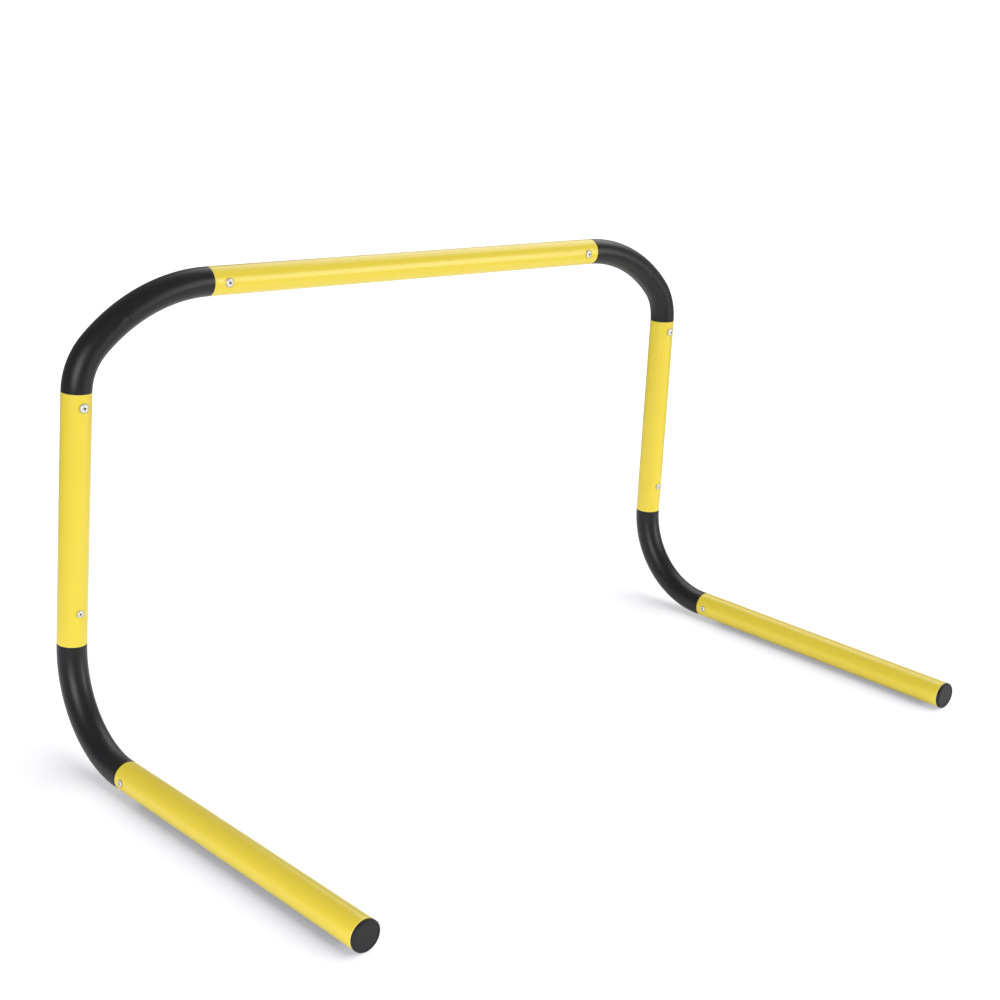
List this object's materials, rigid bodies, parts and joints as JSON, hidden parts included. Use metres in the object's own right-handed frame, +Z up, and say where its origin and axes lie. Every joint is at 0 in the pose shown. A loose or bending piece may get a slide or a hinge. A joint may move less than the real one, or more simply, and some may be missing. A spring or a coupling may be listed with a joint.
{
  "type": "speed hurdle",
  "caption": "Free-standing training hurdle: a round tube bar on uprights with moulded corner elbows, riveted joints and weighted forward feet, for jumping and sprint drills.",
  "frame": {"origin": "on the floor, at the middle of the footprint", "axes": "+X along the bar to the right, +Y to the back (the feet point to -Y), +Z up"},
  "size_m": [0.7463, 0.4074, 0.4032],
  "materials": {
    "yellow_tube": "satin",
    "black_elbow": "satin",
    "black_cap": "matte",
    "rivet_aluminium": "satin",
    "mandrel_steel": "satin",
    "ballast_steel": "satin"
  },
  "bodies": {
    "root": {"foot_rivet_mandrels": "mandrel_steel", "foot_rivets": "rivet_aluminium", "left_ballast_bar": "ballast_steel", "left_foot_cap": "black_cap", "left_foot_tube": "yellow_tube", "left_upright": "yellow_tube", "lower_left_elbow": "black_elbow", "lower_right_elbow": "black_elbow", "right_ballast_bar": "ballast_steel", "right_foot_cap": "black_cap", "right_foot_tube": "yellow_tube", "right_upright": "yellow_tube", "top_bar": "yellow_tube", "top_bar_rivet_mandrels": "mandrel_steel", "top_bar_rivets": "rivet_aluminium", "upper_left_elbow": "black_elbow", "upper_right_elbow": "black_elbow", "upright_bottom_rivet_mandrels": "mandrel_steel", "upright_bottom_rivets": "rivet_aluminium", "upright_top_rivet_mandrels": "mandrel_steel", "upright_top_rivets": "rivet_aluminium"}
  },
  "joints": []
}
